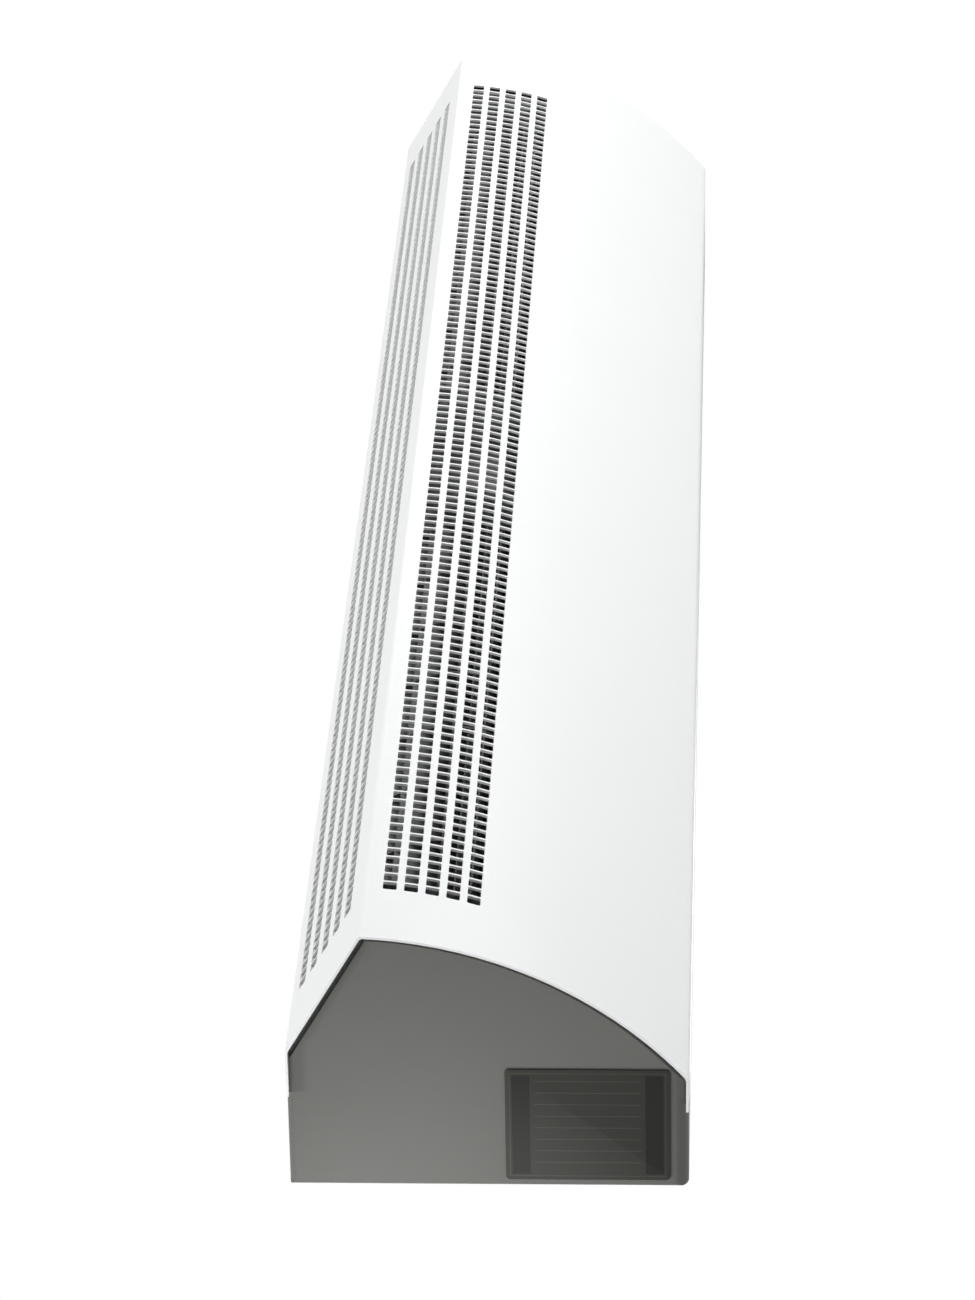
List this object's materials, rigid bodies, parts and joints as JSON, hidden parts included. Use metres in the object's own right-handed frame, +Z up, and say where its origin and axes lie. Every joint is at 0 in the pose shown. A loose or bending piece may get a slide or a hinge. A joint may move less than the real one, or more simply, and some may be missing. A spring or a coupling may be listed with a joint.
{
  "type": "air curtain",
  "caption": "Slim wall-hung air curtain with a perforated intake in a curved front cover, crossflow wheels on a central motor, tubular heaters and a turning outlet vane.",
  "frame": {"origin": "middle of the flat back of the casing, on the wall plane", "axes": "+X along the casing, to the right for someone facing the unit; +Y into the wall, out of the back; +Z up"},
  "size_m": [1.1, 0.135, 0.185],
  "materials": {
    "white_paint": "semi-gloss white powder coat on steel sheet",
    "grey_plastic": "satin mid-grey moulded plastic",
    "plate_foil": "dark printed foil, blank",
    "galvanised_sheet": "galvanised, dull",
    "aluminium": "satin",
    "screw_steel": "zinc plated",
    "heater_steel": "stainless tube, slightly heat tinted",
    "rubber": "matt",
    "bronze": "sintered",
    "copper": "enamelled winding and bare strip",
    "pale_insulator": "moulded",
    "cable_sheath": "cable sheath",
    "black_plastic": "moulded",
    "red_plastic": "moulded"
  },
  "bodies": {
    "casing": {"front_cover": "white_paint", "back_tray": "white_paint", "end_cap_left": "grey_plastic", "end_cap_right": "grey_plastic", "rating_plate": "plate_foil", "cover_screw_top_1": "screw_steel", "cover_screw_bottom_1": "screw_steel", "cover_screw_top_2": "screw_steel", "cover_screw_bottom_2": "screw_steel", "heater_1": "heater_steel", "heater_2": "heater_steel", "heater_3": "heater_steel", "scroll": "galvanised_sheet", "vortex_tongue": "galvanised_sheet", "vane_support": "galvanised_sheet", "side_plate_left": "galvanised_sheet", "side_plate_right": "galvanised_sheet", "motor_bay_plate_left": "galvanised_sheet", "motor_bay_plate_right": "galvanised_sheet", "motor_housing": "galvanised_sheet", "motor_bracket": "galvanised_sheet", "capacitor_clip": "galvanised_sheet", "outlet_rail": "aluminium", "outlet_end_left": "aluminium", "outlet_end_right": "aluminium", "motor_screw_1": "screw_steel", "motor_screw_2": "screw_steel", "motor_ring_left": "rubber", "motor_ring_right": "rubber", "bearing_cushion_left": "rubber", "bearing_cushion_right": "rubber", "cable_grommet": "rubber", "motor_bearing_left": "bronze", "motor_bearing_right": "bronze", "bearing_left": "bronze", "bearing_right": "bronze", "motor_stator": "copper", "heater_link_left": "copper", "heater_link_right": "copper", "thermal_cutout": "pale_insulator", "terminal_block": "pale_insulator", "run_capacitor": "pale_insulator", "motor_lead": "cable_sheath", "heater_lead": "cable_sheath", "fan_switch_body": "black_plastic", "heat_switch_body": "black_plastic"},
    "rotor": {"motor_rotor": "aluminium", "motor_shaft": "screw_steel", "hub_left": "rubber", "hub_right": "rubber", "impeller_left": "aluminium", "impeller_right": "aluminium", "stub_shaft_left": "screw_steel", "stub_shaft_right": "screw_steel"},
    "vane": {"deflector_vane": "aluminium", "vane_pin_left": "screw_steel", "vane_pin_right": "screw_steel"},
    "fan_switch_rocker": {"fan_rocker": "black_plastic"},
    "heat_switch_rocker": {"heat_rocker": "black_plastic"},
    "reset": {"reset_button": "red_plastic"}
  },
  "joints": [
    {"name": "fan_spin", "type": "hinge", "parent": "casing", "child": "rotor", "pos_m": [0, -0.072, 0.026], "axis": [-1, 0, 0], "continuous": true},
    {"name": "vane_tilt", "type": "hinge", "parent": "casing", "child": "vane", "pos_m": [0, -0.0228, -0.073], "axis": [1, 0, 0], "range_deg": [-15, 15]},
    {"name": "fan_switch", "type": "hinge", "parent": "casing", "child": "fan_switch_rocker", "pos_m": [0.5435, -0.045, -0.015], "axis": [0, -1, 0], "range_deg": [0, 20]},
    {"name": "heat_switch", "type": "hinge", "parent": "casing", "child": "heat_switch_rocker", "pos_m": [0.5435, -0.075, -0.015], "axis": [0, -1, 0], "range_deg": [-10, 10]},
    {"name": "reset_press", "type": "slide", "parent": "casing", "child": "reset", "axis": [-1, 0, 0], "range_m": [0, 0.0015], "stiffness_N_per_m": 400}
  ]
}
